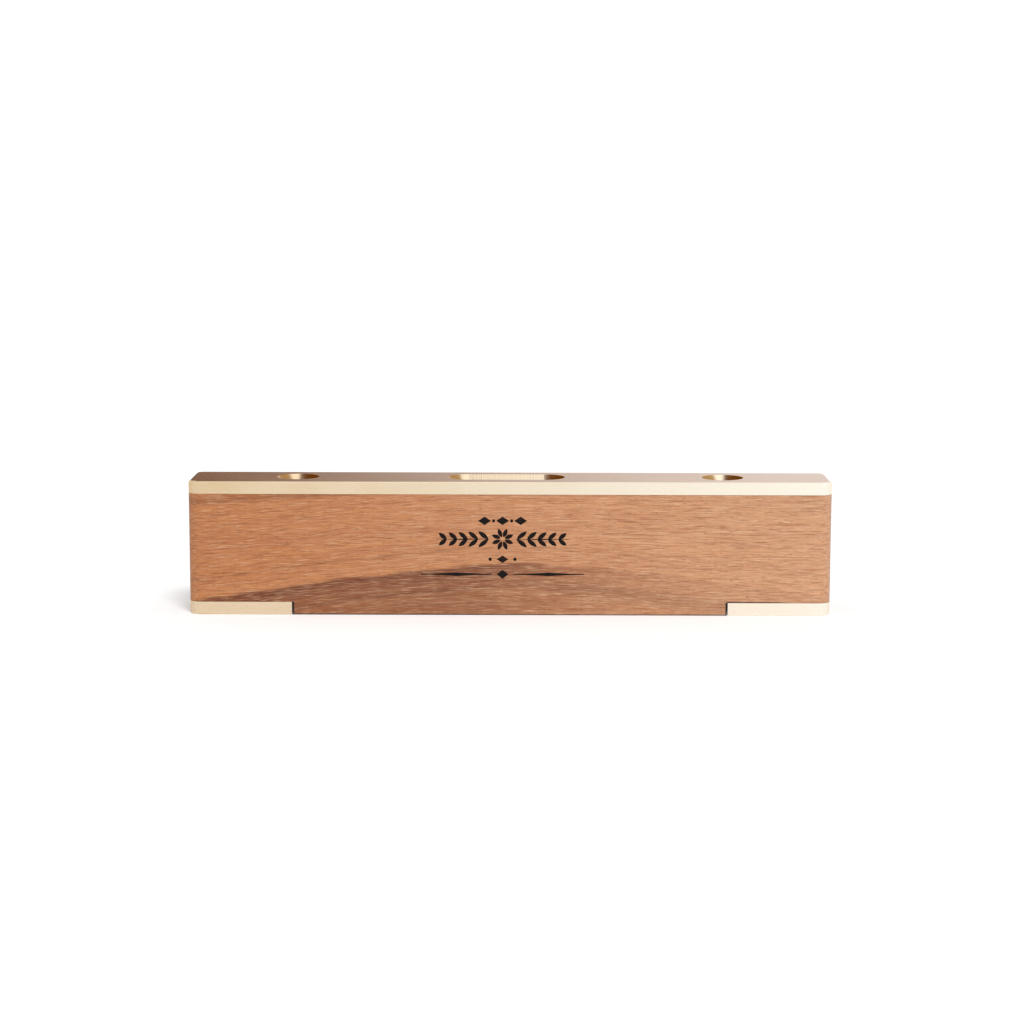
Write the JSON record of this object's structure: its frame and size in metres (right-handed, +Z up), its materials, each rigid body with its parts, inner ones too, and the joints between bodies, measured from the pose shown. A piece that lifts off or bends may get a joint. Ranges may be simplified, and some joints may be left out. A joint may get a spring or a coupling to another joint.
{
  "type": "wooden spirit level",
  "caption": "Short walnut spirit level with a full-length brass top plate over a bubble vial and brass tips let into the ends of its sole.",
  "frame": {"origin": "middle of the sole, on the surface that the level stands on", "axes": "+X along the level to its right end as seen from the front, +Y to its back, +Z up through the top plate"},
  "size_m": [0.2286, 0.0254, 0.048],
  "materials": {
    "walnut": "planed, sanded and thinly oiled",
    "brass": "satin, drawn along its length and lacquered",
    "screw_brass": "turned, slightly dulled",
    "vial_glass": "clear polished",
    "spirit": "clear yellow-green liquid",
    "bubble": "clear",
    "index_enamel": "black enamel",
    "plug_cement": "set cement",
    "plaster": "cast plaster, matte"
  },
  "bodies": {
    "level": {"stock": "walnut", "top_plate": "brass", "tip_left": "brass", "tip_right": "brass", "plate_screw_left": "screw_brass", "plate_screw_right": "screw_brass", "tip_screw_left_outer": "screw_brass", "tip_screw_left_inner": "screw_brass", "tip_screw_right_inner": "screw_brass", "tip_screw_right_outer": "screw_brass", "vial_glass": "vial_glass", "vial_plug": "plug_cement", "index_line_left": "index_enamel", "index_line_right": "index_enamel", "vial_spirit": "spirit", "plaster_bed": "plaster"},
    "bubble": {"vial_bubble": "bubble"}
  },
  "joints": [
    {"name": "bubble_travel", "type": "hinge", "parent": "level", "child": "bubble", "pos_m": [-0.0014, 0, -0.3585], "axis": [0, 1, 0], "range_deg": [-1.75, 1.75], "stiffness_Nm_per_rad": 0.0024, "deforming": ["vial_spirit"]}
  ]
}
